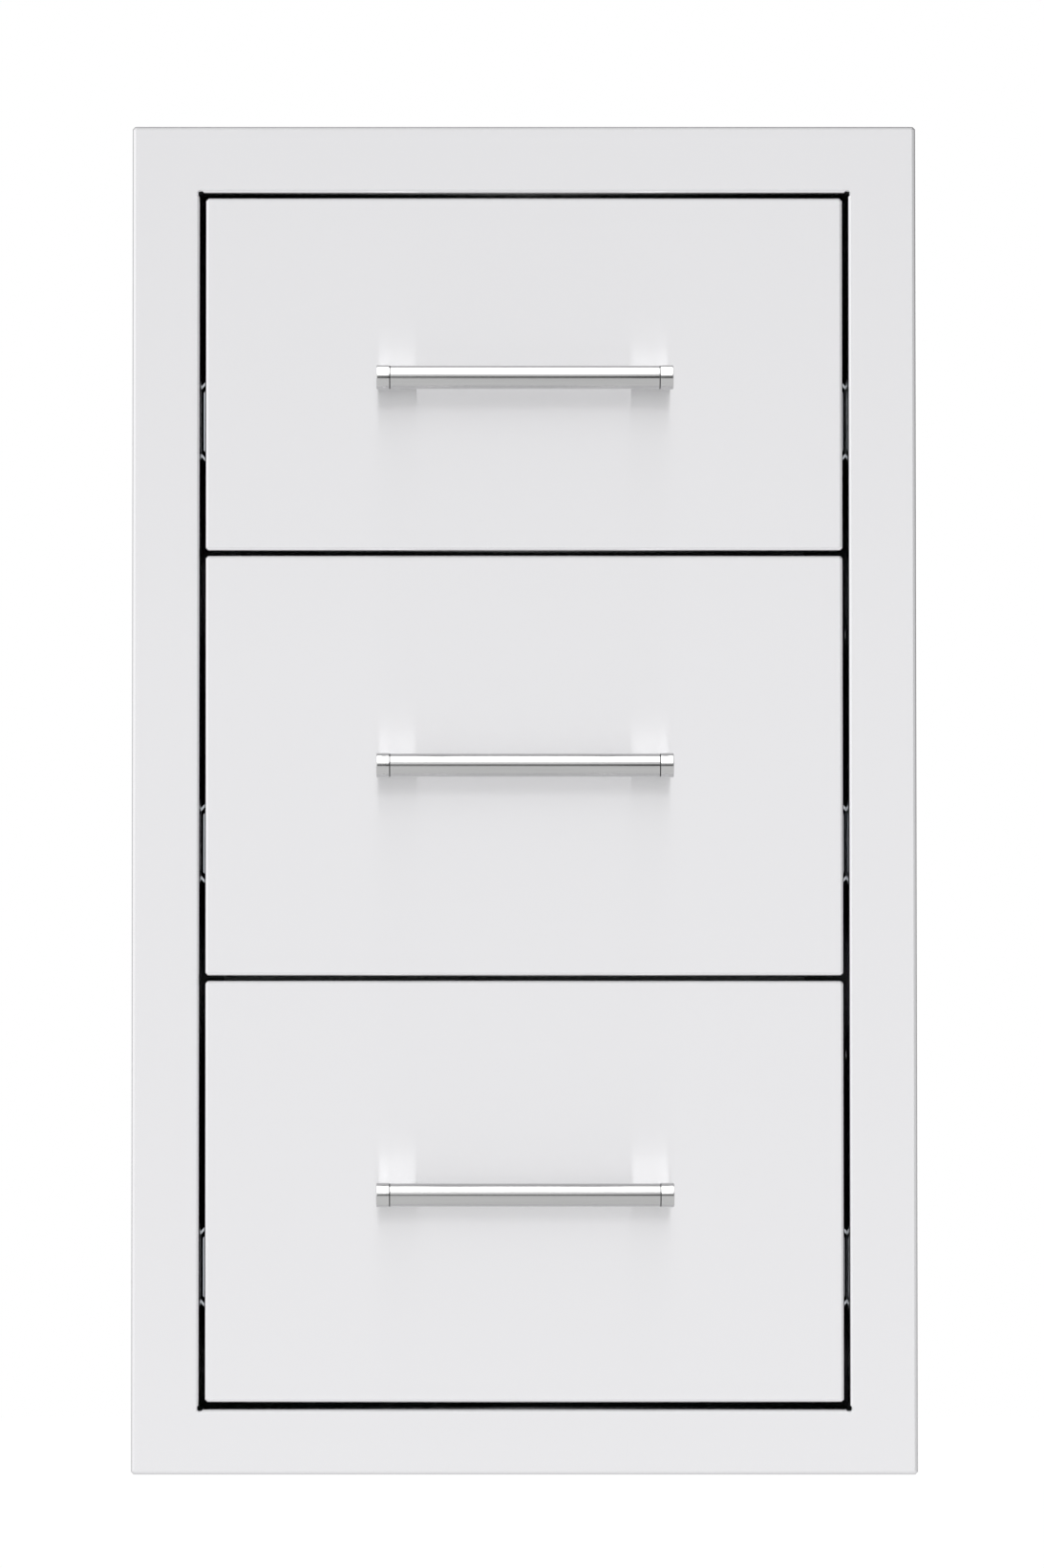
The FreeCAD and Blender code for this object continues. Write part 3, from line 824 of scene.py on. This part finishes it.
@dataclass
class Handle:
    """A round bar between two cast legs, whose ends are the bar's caps, with a dark ring as painted shadow
    in each joint.
    """

    level: Level
    bar_edge: float = 0.04 * MM
    joint_gap: float = 0.55 * MM
    ring_inset: float = 0.05 * MM
    ring_bore: float = 3.0 * MM
    post_height: float = 6.4 * MM
    post_corner: float = 1.2 * MM
    cap_crown: float = 0.55 * MM
    cap_inset: float = 0.25 * MM
    seat_gap: float = 0.02 * MM
    seat_overrun: float = 5.0 * MM
    ring_edge: float = 0.06875 * MM
    corners: int = 96
    ring_corners: int = 64
    bore_corners: int = 32

    def build(self, workshop: Workshop) -> list[bpy.types.Object]:
        """Models the bar, both legs and the rings.

        Args:
            workshop: Where the finishes come from.

        Returns:
            The bar, the legs and the rings.
        """
        body = f"drawer_{self.level.value}"
        made = []
        for node, piece, finish in (
            (f"handle_bar_{self.level.value}", self.bar(), GROUND_BAR),
            *((f"handle_leg_{self.level.value}_{side.word}", self.leg(side), CAST_STEEL) for side in Side),
        ):
            piece.name = node.replace("handle_", "fine_handle_")
            workshop.dress(piece, finish)
            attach(piece, body)
            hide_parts(node)
            report(piece)
            made.append(piece)
        rings = self.rings(workshop)
        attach(rings, body)
        made.append(rings)
        return made

    def rings(self, workshop: Workshop) -> bpy.types.Object:
        """Thin dark rings in the joints between the bar and its caps, which paint the joints' shadow.

        Args:
            workshop: Where the finish comes from.

        Returns:
            Both rings as one piece.
        """
        start, end, radius = self.axis()
        width = Vector((0, 0, self.joint_gap))
        ring = new_round(Vector((0, 0, 0)), width, radius - self.ring_inset, self.ring_corners)
        combine(ring, new_round(-width, 2 * width, self.ring_bore, self.bore_corners), Joining.CUT)
        middle = (radius + self.ring_bore) / 2
        with editing(ring):
            choose_edges(
                lambda a, b: abs(a.z - b.z) < TOLERANCE and min(a.xy.length, b.xy.length) > middle
            )
            bpy.ops.mesh.bevel(offset=self.ring_edge, segments=2, affect="EDGES")
        smooth(ring)
        # The dark rubber finish makes each ring a painted shadow in its joint
        workshop.dress(ring, RUBBER)
        places = (facing(start, Vector((1, 0, 0))), facing(end, Vector((-1, 0, 0))))
        rings = copies(ring, f"handle_rings_{self.level.value}", places)
        bpy.data.objects.remove(ring, do_unlink=True)
        report(rings)
        return rings

    def axis(self) -> tuple[Vector, Vector, float]:
        """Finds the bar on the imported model.

        Returns:
            Both ends of its middle line, and its radius.
        """
        low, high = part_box(f"handle_bar_{self.level.value}")
        middle = (low + high) / 2
        start = Vector((low.x, middle.y, middle.z))
        end = Vector((high.x, middle.y, middle.z))
        return start, end, (high.z - low.z) / 2

    def bar(self) -> bpy.types.Object:
        """Models the bar a little short of the caps, so that a fine dark joint shows at each.

        Returns:
            The bar.
        """
        start, end, radius = self.axis()
        short = Vector((self.joint_gap, 0.0, 0.0))
        bar = new_round(start + short, end - short, radius, self.corners)
        with editing(bar):
            choose_edges(lambda a, b: abs(a.x - b.x) < TOLERANCE)
            bpy.ops.mesh.bevel(offset=self.bar_edge, segments=3, affect="EDGES")
        smooth(bar)
        return bar

    def leg(self, side: Side) -> bpy.types.Object:
        """One leg: a post with rounded long edges, a half-round seat for the bar, and the crowned cap.

        Args:
            side: The leg's end of the bar.

        Returns:
            The leg as one solid.
        """
        start, end, radius = self.axis()
        bar_end = start if side is Side.LEFT else end
        low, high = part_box(f"handle_leg_{self.level.value}_{side.word}")
        out = side.value
        tip, inner = (low.x, high.x) if side is Side.LEFT else (high.x, low.x)
        near, far = sorted((tip - out * self.cap_inset, inner))
        post = new_block(
            Vector((near, bar_end.y, bar_end.z - self.post_height / 2)),
            Vector((far, high.y, bar_end.z + self.post_height / 2)),
        )
        with editing(post):
            choose_edges(lambda a, b: abs(a.y - b.y) > TOLERANCE)
            bpy.ops.mesh.bevel(offset=self.post_corner, segments=5, affect="EDGES")
        seat_end = Vector((inner - out * self.seat_overrun, bar_end.y, bar_end.z))
        seat = new_round(bar_end, seat_end, radius + self.seat_gap, self.corners)
        combine(post, seat, Joining.CUT)
        cap_end = Vector((tip, bar_end.y, bar_end.z))
        cap = new_round(bar_end, cap_end, (high.z - low.z) / 2, self.corners)
        with editing(cap):
            choose_edges(lambda a, b: min(a.x * out, b.x * out) > tip * out - TOLERANCE)
            bpy.ops.mesh.bevel(offset=self.cap_crown, segments=6, affect="EDGES")
            choose_edges(lambda a, b: max(a.x * out, b.x * out) < bar_end.x * out + TOLERANCE)
            bpy.ops.mesh.bevel(offset=self.bar_edge, segments=3, affect="EDGES")
        combine(post, cap, Joining.ADD)
        smooth(post)
        return post


@dataclass
class BallRows:
    """The balls of a drawer's slides, which the two pairs of cages carry."""

    level: Level
    radius: float = 1.6 * MM
    outer_inset: float = 5.0 * MM
    outer_rise: float = 19.5 * MM
    inner_inset: float = 7.957 * MM
    inner_rise: float = 15.976 * MM
    row_length: int = 5
    pitch: float = 40.0 * MM

    def build(self, workshop: Workshop) -> None:
        """Fills the windows of the outer and inner cages with balls.

        Args:
            workshop: Where the finish comes from.
        """
        clear_choice()
        bpy.ops.mesh.primitive_ico_sphere_add(subdivisions=3, radius=self.radius)
        ball = bpy.context.object
        bpy.ops.object.shade_smooth()
        workshop.dress(ball, BALL_STEEL)
        for row, inset, rise in (
            ("outer", self.outer_inset, self.outer_rise),
            ("inner", self.inner_inset, self.inner_rise),
        ):
            places = self.places(row, inset, rise)
            piece = copies(ball, f"balls_{row}_{self.level.value}", places)
            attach(piece, f"{row}_cages_{self.level.value}")
            report(piece)
        bpy.data.objects.remove(ball, do_unlink=True)

    def places(self, row: str, inset: float, rise: float) -> Iterator[Matrix]:
        """Each ball's place in one pair of cages.

        Args:
            row: The pair's name, outer or inner.
            inset: From the side panel to the balls' middles.
            rise: From the slide's middle to the balls' middles.

        Yields:
            The places.
        """
        low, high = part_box(f"slide_outer_{self.level.value}_right")
        cage_low, cage_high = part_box(f"ball_cages_{row}_{self.level.value}")
        first = (cage_low.y + cage_high.y) / 2 - (self.row_length - 1) * self.pitch / 2
        middle = (low.z + high.z) / 2
        for side in Side:
            across = side.value * (high.x - inset)
            for way in (-1, 1):
                for number in range(self.row_length):
                    place = Vector((across, first + number * self.pitch, middle + way * rise))
                    yield Matrix.Translation(place)


@dataclass
class DrawerFixings:
    """The screws, nuts, rivets and weld marks that hold one drawer together."""

    level: Level
    screw_pitch: float = 190.0 * MM
    first_screw: float = 36.0 * MM
    flange_middle: float = 6.0 * MM
    weld_setback: float = 6.0 * MM
    member_sheet: float = 1.2 * MM
    rivet_shares: tuple[float, ...] = (0.17, 0.47, 0.77)
    side_weld_shares: tuple[float, ...] = (0.12, 0.62, 0.85)
    floor_weld_shares: tuple[float, ...] = (-0.75, -0.25, 0.25, 0.75)
    handle_screw_turn: float = 20.0
    handle_screw_step: float = 55.0
    slide_screw_step: float = 37.0

    def build(self, workshop: Workshop) -> None:
        """Fits everything to the drawer's body.

        Args:
            workshop: Where the fasteners come from.
        """
        word = self.level.value
        body = f"drawer_{word}"
        workshop.fasteners(HANDLE_SCREW, f"handle_screws_{word}", body, self.handle_screws())
        workshop.fasteners(RIVET, f"flange_rivets_{word}", body, self.flange_rivets())
        workshop.fasteners(SLIDE_SCREW, f"slide_screws_{word}", body, self.slide_screws(False))
        workshop.fasteners(SLIDE_NUT, f"slide_nuts_{word}", body, self.slide_screws(True))
        workshop.fasteners(WELD, f"tray_welds_{word}", body, self.weld_marks())

    def handle_screws(self) -> Iterator[Matrix]:
        """Two screws through the liner, one into each leg.

        Yields:
            Their places.
        """
        _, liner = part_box(f"front_liner_{self.level.value}")
        for side in Side:
            low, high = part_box(f"handle_leg_{self.level.value}_{side.word}")
            middle = (low + high) / 2
            turn = self.handle_screw_turn + self.handle_screw_step * side.value
            yield facing(Vector((middle.x, liner.y, middle.z)), Vector((0, 1, 0)), turn)

    def flange_rivets(self) -> Iterator[Matrix]:
        """Three rivets through each front flange of the tray.

        Yields:
            Their places.
        """
        low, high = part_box(f"tray_{self.level.value}")
        flange_face = low.y + SHEET
        for side in Side:
            across = side.value * (high.x - self.flange_middle)
            for share in self.rivet_shares:
                height = low.z + (high.z - low.z) * share
                yield facing(Vector((across, flange_face, height)), Vector((0, 1, 0)))

    def slide_screws(self, nuts: bool) -> Iterator[Matrix]:
        """Three screws through each side of the tray into the slide's drawer member.

        Args:
            nuts: Whether the places of their nuts are wanted instead.

        Yields:
            Their places.
        """
        for side in Side:
            low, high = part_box(f"slide_inner_{self.level.value}_{side.word}")
            web_face = min(abs(low.x), abs(high.x))
            reach = web_face + self.member_sheet if nuts else web_face - SHEET
            way = side.value if nuts else -side.value
            for number in range(3):
                depth = low.y + self.first_screw + number * self.screw_pitch
                place = Vector((side.value * reach, depth, (low.z + high.z) / 2))
                yield facing(place, Vector((way, 0, 0)), self.slide_screw_step * number)

    def weld_marks(self) -> Iterator[Matrix]:
        """Spot welds where the tray's back is held by its sides and floor.

        Yields:
            Their places.
        """
        low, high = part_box(f"tray_{self.level.value}")
        depth = high.y - self.weld_setback
        for side in Side:
            for share in self.side_weld_shares:
                height = low.z + (high.z - low.z) * share
                yield facing(Vector((side.value * high.x, depth, height)), Vector((side.value, 0, 0)))
        for across in self.floor_weld_shares:
            yield facing(Vector((high.x * across, depth, low.z)), Vector((0, 0, -1)))


@dataclass
class HousingFixings:
    """The rivets and weld marks of the housing."""

    shelf_pitch: float = 112.0 * MM
    shelf_inset: float = 6.5 * MM
    back_setback: float = 5.5 * MM
    slide_pitch: float = 180.0 * MM
    lip_middle: float = 5.0 * MM
    shelf_rivet_count: int = 4
    shelf_start_share: float = 0.4
    back_shares_up: tuple[float, ...] = (0.07, 0.285, 0.5, 0.715, 0.93)
    back_shares_across: tuple[float, ...] = (-0.7, 0.0, 0.7)
    lip_shares_up: tuple[float, ...] = (0.06, 0.28, 0.5, 0.72, 0.94)
    lip_shares_across: tuple[float, ...] = (-0.8, -0.27, 0.27, 0.8)

    def build(self, workshop: Workshop) -> None:
        """Fits everything to the cabinet.

        Args:
            workshop: Where the fasteners come from.
        """
        workshop.fasteners(RIVET, "shelf_rivets", "cabinet", self.shelf_rivets())
        workshop.fasteners(RIVET, "back_rivets", "cabinet", self.back_rivets())
        workshop.fasteners(RIVET, "slide_rivets", "cabinet", self.slide_rivets())
        workshop.fasteners(WELD, "lip_welds", "cabinet", self.lip_welds())

    def shelf_rivets(self) -> Iterator[Matrix]:
        """Rivets through the top and bottom panels into the side panels' flanges.

        Yields:
            Their places.
        """
        low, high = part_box("top_panel")
        top_face = low.z + SHEET
        bottom_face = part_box("bottom_panel")[1].z - SHEET
        for height, way in ((top_face, 1), (bottom_face, -1)):
            for side in Side:
                for number in range(self.shelf_rivet_count):
                    depth = low.y + self.shelf_pitch * (number + self.shelf_start_share)
                    place = Vector((side.value * (high.x - self.shelf_inset), depth, height))
                    yield facing(place, Vector((0, 0, way)))

    def back_rivets(self) -> Iterator[Matrix]:
        """Rivets through the back panel's flanges.

        Yields:
            Their places.
        """
        low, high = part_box("back_panel")
        depth = high.y - self.back_setback
        for side in Side:
            for share in self.back_shares_up:
                place = Vector((side.value * high.x, depth, low.z + (high.z - low.z) * share))
                yield facing(place, Vector((side.value, 0, 0)))
        for height, way in ((high.z, 1), (low.z, -1)):
            for across in self.back_shares_across:
                yield facing(Vector((high.x * across, depth, height)), Vector((0, 0, way)))

    def slide_rivets(self) -> Iterator[Matrix]:
        """Rivets that hold the slides' cabinet members, seen outside the side panels.

        Yields:
            Their places.
        """
        for level in Level:
            for side in Side:
                low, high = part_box(f"slide_outer_{level.value}_{side.word}")
                outside = max(abs(low.x), abs(high.x)) + SHEET
                for number in (-1, 0, 1):
                    depth = (low.y + high.y) / 2 + number * self.slide_pitch
                    place = Vector((side.value * outside, depth, (low.z + high.z) / 2))
                    yield facing(place, Vector((side.value, 0, 0)))

    def lip_welds(self) -> Iterator[Matrix]:
        """Spot welds of the housing's front lips to the face frame, seen from behind.

        Yields:
            Their places.
        """
        for side in Side:
            low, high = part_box(f"side_panel_{side.word}")
            edge = max(abs(low.x), abs(high.x)) - self.lip_middle
            for share in self.lip_shares_up:
                height = low.z + (high.z - low.z) * share
                place = Vector((side.value * edge, low.y + SHEET, height))
                yield facing(place, Vector((0, 1, 0)))
        upper_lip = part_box("top_panel")[1].z - self.lip_middle
        lower_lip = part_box("bottom_panel")[0].z + self.lip_middle
        low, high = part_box("top_panel")
        for height in (upper_lip, lower_lip):
            for across in self.lip_shares_across:
                place = Vector((high.x * across, low.y + SHEET, height))
                yield facing(place, Vector((0, 1, 0)))


def dress_nodes(frame: dict, workshop: Workshop) -> None:
    """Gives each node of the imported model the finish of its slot, with its lines along the real sheet's.

    Args:
        frame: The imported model.
        workshop: Where the finishes come from.
    """
    lengthwise = ("side_panel", "top_panel", "bottom_panel", "tray_")
    for entry in frame["record"]["subparts"]:
        finish = SLOT_FINISHES[entry["material_slot"]]
        if entry["node"].startswith(lengthwise) and "back" not in entry["node"]:
            finish = MILL_SHEET_Y
        workshop.dress(frame["nodes"][entry["node"]], finish)


@dataclass
class Studio:
    """Camera, floor, surroundings and lamps, with levels at which 1 is white.

    Each edge of the surroundings is soft: it begins at its first value and is whole at its second,
    both of them measured along one part of the direction that is looked in.
    """

    camera_place: tuple[float, float, float] = (-0.0483, -4.1127, 0.2413)
    camera_pitch: float = 1.924
    lens: float = 171.22
    frame_shift: float = 0.0546

    floor_drop: float = 0.15
    floor_front: float = 3.0
    floor_back: float = 3.5
    floor_width: float = 10.0
    floor_matt: float = 0.9
    floor_seen: float = 1.2
    floor_mirrored: float = 0.9
    floor_pale_share: float = 0.7

    room_light: float = 1.1
    left_gain: float = 0.24
    left_edge: tuple[float, float] = (-0.1, -0.6)
    right_loss: float = 0.42
    right_edge: tuple[float, float] = (0.1, 0.6)
    overhead_loss: float = 0.22
    overhead_edge: tuple[float, float] = (0.2, 0.7)
    curtain_loss: float = 0.6
    curtain_front_edge: tuple[float, float] = (-0.1, 0.3)
    curtain_back_edge: tuple[float, float] = (0.95, 0.7)
    gap_depth: float = 0.95
    gap_top: float = 0.24
    gap_bottom: float = -0.5
    gap_whole_share: float = 0.3
    behind_edge: tuple[float, float] = (-0.75, -0.95)

    fill_distance: float = 9.0
    fill_middle: float = 0.65
    fill_height: float = 4.0
    fill_width: float = 11.2
    fill_light: float = 0.8
    low_fill_light: float = 0.14
    low_fill_width: float = 5.0
    low_fill_start: float = 0.2
    low_fill_rise: float = 0.01
    near_fill_light: float = 0.14
    near_fill_width: float = 2.5
    near_fill_start: float = 0.03
    near_fill_reach: float = 0.5
    near_fill_rise: float = 0.015

    soft_box_height: float = 6.0
    soft_box_width: float = 8.0
    soft_box_back: float = 5.0
    bar_light: float = 2.0
    bar_light_front: float = 9.0
    leg_light: float = 3.0
    leg_light_front: float = 13.0

    def build(self, handle_pieces: list[bpy.types.Object]) -> None:
        """Makes everything that the object is shown with.

        Args:
            handle_pieces: The bars, legs and rings; the bars and the legs have a soft box each.
        """
        self.place_camera()
        self.lay_floor()
        self.surround()
        bars = [piece for piece in handle_pieces if "bar" in piece.name]
        legs = [piece for piece in handle_pieces if "leg" in piece.name]
        self.hang_soft_box(bars, self.bar_light, self.bar_light_front)
        self.hang_soft_box(legs, self.leg_light, self.leg_light_front)
        self.stand_fill(handle_pieces)
        self.lay_fill(
            handle_pieces,
            (self.low_fill_start, self.floor_front),
            self.low_fill_width,
            self.low_fill_rise,
            self.low_fill_light,
        )
        self.lay_fill(
            handle_pieces,
            (self.near_fill_start, self.near_fill_start + self.near_fill_reach),
            self.near_fill_width,
            self.near_fill_rise,
            self.near_fill_light,
        )
        bpy.context.scene.view_settings.view_transform = "Standard"

    def place_camera(self) -> None:
        """The photograph's viewpoint: left of the middle, a third of the way up, looking slightly up."""
        turn = (math.radians(90.0 + self.camera_pitch), 0.0, 0.0)
        bpy.ops.object.camera_add(location=self.camera_place, rotation=turn)
        camera = bpy.context.object
        camera.data.lens = self.lens
        camera.data.shift_x = self.frame_shift
        bpy.context.scene.camera = camera

    def lay_floor(self) -> None:
        """A pale floor under the unit, which stands clear of it as the unit hangs in its wall."""
        middle = (self.floor_back - self.floor_front) / 2
        bpy.ops.mesh.primitive_plane_add(size=1.0, location=(0.0, middle, -self.floor_drop))
        floor = bpy.context.object
        floor.name = "floor"
        floor.scale = (self.floor_width, self.floor_front + self.floor_back, 1.0)
        settle(floor)
        material = bpy.data.materials.new("floor")
        network = Network(material)
        path = network.node("ShaderNodeLightPath")
        seen = Signal(network, path.outputs["Is Camera Ray"])
        mirrored = Signal(network, path.outputs["Is Glossy Ray"])
        grey = shade(WHITE, self.floor_matt)
        matt = network.signal("ShaderNodeBsdfDiffuse", {}, {"Color": grey})
        light = seen * self.floor_seen + mirrored * self.floor_mirrored
        pale = network.signal("ShaderNodeEmission", {}, {"Color": WHITE, "Strength": light})
        share = seen.at_least(mirrored) * self.floor_pale_share
        lit = network.signal("ShaderNodeMixShader", {}, {0: share, 1: matt, 2: pale})
        under = network.signal("ShaderNodeNewGeometry", output="Backfacing")
        clear = network.signal("ShaderNodeBsdfTransparent")
        surface = network.signal("ShaderNodeMixShader", {}, {0: under, 1: lit, 2: clear})
        network.node("ShaderNodeOutputMaterial", {}, {"Surface": surface})
        floor.data.materials.append(material)
        floor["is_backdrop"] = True

    def hang_lamp(
        self,
        place: Vector,
        target: Vector,
        size: tuple[float, float],
        light: float,
        flag: Flag,
        pieces: list[bpy.types.Object],
    ) -> None:
        """Hangs a soft lamp that lights only some pieces, or all but those.

        Args:
            place: Where its middle is.
            target: What it points at.
            size: Its width and height.
            light: How bright its face is, where 1 is white.
            flag: Whether it lights the pieces or leaves them out.
            pieces: What it lights, or what it doesn't.
        """
        bpy.ops.object.light_add(type="AREA", location=place)
        lamp = bpy.context.object
        lamp.rotation_euler = (target - place).to_track_quat("-Z", "Y").to_euler()
        lamp.data.shape = "RECTANGLE"
        lamp.data.size, lamp.data.size_y = size
        # The power of a flat lamp whose face is that bright
        lamp.data.energy = light * math.pi * size[0] * size[1]
        group = bpy.data.collections.new(f"lamp_{flag.value.lower()}")
        for piece in pieces:
            group.objects.link(piece)
        for link in group.collection_objects:
            link.light_linking.link_state = flag.value
        lamp.light_linking.receiver_collection = group
        lamp.visible_camera = False

    def hang_soft_box(self, lit: list[bpy.types.Object], light: float, front: float) -> None:
        """A wide soft box above the unit, which lights only the pieces given.

        Args:
            lit: What it lights.
            light: How bright its face is.
            front: How far before the unit it reaches.
        """
        length = front + self.soft_box_back
        place = Vector((0.0, self.soft_box_back - length / 2, self.soft_box_height))
        below = place - Vector((0.0, 0.0, self.soft_box_height))
        self.hang_lamp(place, below, (self.soft_box_width, length), light, Flag.ONLY, lit)

    def stand_fill(self, unlit: list[bpy.types.Object]) -> None:
        """A long fill light behind the camera, flagged off the handles, which show a dark line there.

        Args:
            unlit: What it doesn't light.
        """
        place = Vector((0.0, -self.fill_distance, self.fill_middle))
        target = Vector((0.0, 0.0, self.fill_middle))
        size = (self.fill_width, self.fill_height)
        self.hang_lamp(place, target, size, self.fill_light, Flag.ALL_BUT, unlit)

    def lay_fill(
        self,
        unlit: list[bpy.types.Object],
        reach: tuple[float, float],
        width: float,
        rise: float,
        light: float,
    ) -> None:
        """A fill light along the floor before the unit, flagged off the handles.

        Args:
            unlit: What it doesn't light.
            reach: How far before the unit it starts and ends.
            width: How wide it is.
            rise: How far it is above the floor.
            light: How bright its face is.
        """
        start, end = reach
        place = Vector((0.0, -(start + end) / 2, rise - self.floor_drop))
        above = place + Vector((0.0, 0.0, 1.0))
        self.hang_lamp(place, above, (width, end - start), light, Flag.ALL_BUT, unlit)

    def surround(self) -> None:
        """White for the camera; for the metal a pale room, brighter at the left and darker at the right."""
        world = bpy.data.worlds.new("studio")
        bpy.context.scene.world = world
        network = Network(world)
        way = network.signal("ShaderNodeTexCoord", output="Generated")
        parts = network.node("ShaderNodeSeparateXYZ", {}, {0: way})
        across, away, up = (Signal(network, parts.outputs[axis]) for axis in range(3))
        right = across.step(*self.right_edge)
        left = across.step(*self.left_edge)
        overhead = up.step(*self.overhead_edge)
        curtains = away.step(*self.curtain_front_edge) * away.step(*self.curtain_back_edge)
        behind_camera = away.step(*self.behind_edge)
        over_gap_bottom = up.step(self.gap_bottom, self.gap_bottom * self.gap_whole_share)
        under_gap_top = up.step(self.gap_top, self.gap_top * self.gap_whole_share)
        gap = over_gap_bottom * under_gap_top * behind_camera
        room = (left * self.left_gain + 1.0) * (1.0 - right * self.right_loss)
        room = room * (1.0 - overhead * self.overhead_loss) * (1.0 - curtains * self.curtain_loss)
        room = room * self.room_light - gap * self.gap_depth
        path = network.node("ShaderNodeLightPath")
        seen = Signal(network, path.outputs["Is Camera Ray"])
        strength = seen + (1.0 - seen) * room
        inputs = {"Color": WHITE, "Strength": strength}
        background = network.signal("ShaderNodeBackground", {}, inputs)
        network.node("ShaderNodeOutputWorld", {}, {"Surface": background})


def main() -> None:
    """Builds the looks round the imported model, and reports each piece."""
    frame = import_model()
    cad_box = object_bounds()
    workshop = Workshop()
    dress_nodes(frame, workshop)
    handle_pieces = []
    for level in Level:
        handle_pieces += Handle(level).build(workshop)
        BallRows(level).build(workshop)
        DrawerFixings(level).build(workshop)
    HousingFixings().build(workshop)
    workshop.clear_away()
    Studio().build(handle_pieces)
    [[list(corner) for corner in box] for box in (cad_box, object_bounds())]


if __name__ == "__main__":
    logging.basicConfig(level=logging.INFO, format="%(message)s")
    main()
